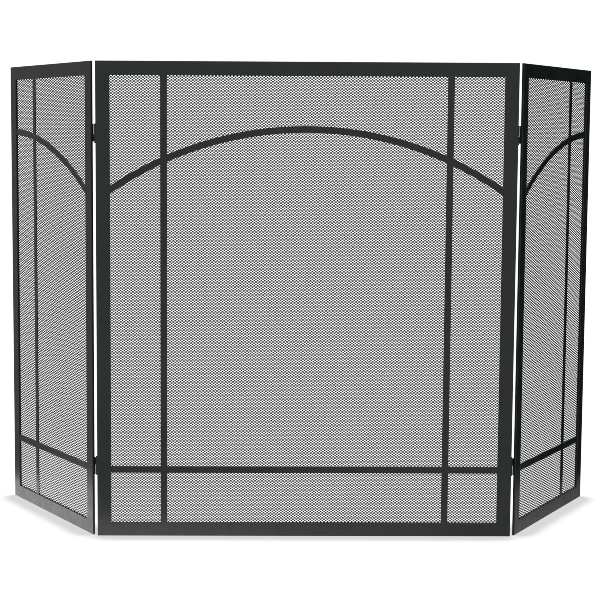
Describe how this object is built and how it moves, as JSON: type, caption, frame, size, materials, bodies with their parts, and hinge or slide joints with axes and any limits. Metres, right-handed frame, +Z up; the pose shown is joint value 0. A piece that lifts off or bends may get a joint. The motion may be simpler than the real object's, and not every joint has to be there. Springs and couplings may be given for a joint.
{
  "type": "folding fireplace screen",
  "caption": "Folding fireplace screen of flat black steel bar, with an arched bar and straight bars over expanded-metal mesh, and a hinged side panel at each end.",
  "frame": {"origin": "middle of the centre panel's underside, on the floor and in the plane of the centre panel", "axes": "+X along the centre panel to the viewer's right, +Y back towards the fire, +Z up"},
  "size_m": [1.0522, 0.3017, 0.787],
  "materials": {
    "frame_paint": "satin black heat-resistant paint, very slightly green",
    "strip_paint": "satin black paint on thin steel strip",
    "mesh_paint": "satin black paint on expanded metal",
    "hinge_paint": "satin black paint over weld",
    "pin_steel": "blackened steel, worn where it turns",
    "screw_steel": "black oxide pan-head screw"
  },
  "bodies": {
    "centre_panel": {"centre_arch": "frame_paint", "centre_bottom_rail": "frame_paint", "centre_bottom_strip": "strip_paint", "centre_left_stile": "frame_paint", "centre_left_strip": "strip_paint", "centre_left_upright": "frame_paint", "centre_low_rail": "frame_paint", "centre_mesh": "mesh_paint", "centre_right_stile": "frame_paint", "centre_right_strip": "strip_paint", "centre_right_upright": "frame_paint", "centre_screws": "screw_steel", "centre_top_rail": "frame_paint", "centre_top_strip": "strip_paint", "left_lower_hinge_fixed_leaf": "hinge_paint", "left_lower_hinge_pin": "pin_steel", "left_upper_hinge_fixed_leaf": "hinge_paint", "left_upper_hinge_pin": "pin_steel", "right_lower_hinge_fixed_leaf": "hinge_paint", "right_lower_hinge_pin": "pin_steel", "right_upper_hinge_fixed_leaf": "hinge_paint", "right_upper_hinge_pin": "pin_steel"},
    "left_panel": {"left_arch": "frame_paint", "left_bottom_rail": "frame_paint", "left_bottom_strip": "strip_paint", "left_hinge_stile": "frame_paint", "left_hinge_strip": "strip_paint", "left_low_rail": "frame_paint", "left_lower_hinge_swing_leaf": "hinge_paint", "left_mesh": "mesh_paint", "left_outer_stile": "frame_paint", "left_outer_strip": "strip_paint", "left_screws": "screw_steel", "left_top_rail": "frame_paint", "left_top_strip": "strip_paint", "left_upper_hinge_swing_leaf": "hinge_paint", "left_upright": "frame_paint"},
    "right_panel": {"right_arch": "frame_paint", "right_bottom_rail": "frame_paint", "right_bottom_strip": "strip_paint", "right_hinge_stile": "frame_paint", "right_hinge_strip": "strip_paint", "right_low_rail": "frame_paint", "right_lower_hinge_swing_leaf": "hinge_paint", "right_mesh": "mesh_paint", "right_outer_stile": "frame_paint", "right_outer_strip": "strip_paint", "right_screws": "screw_steel", "right_top_rail": "frame_paint", "right_top_strip": "strip_paint", "right_upper_hinge_swing_leaf": "hinge_paint", "right_upright": "frame_paint"}
  },
  "joints": [
    {"name": "left_fold", "type": "hinge", "parent": "centre_panel", "child": "left_panel", "pos_m": [-0.345, 0.0062, 0], "axis": [0, 0, -1], "range_deg": [-59.5, 120.5]},
    {"name": "right_fold", "type": "hinge", "parent": "centre_panel", "child": "right_panel", "pos_m": [0.345, 0.0062, 0], "axis": [0, 0, 1], "range_deg": [-59.5, 120.5]}
  ]
}
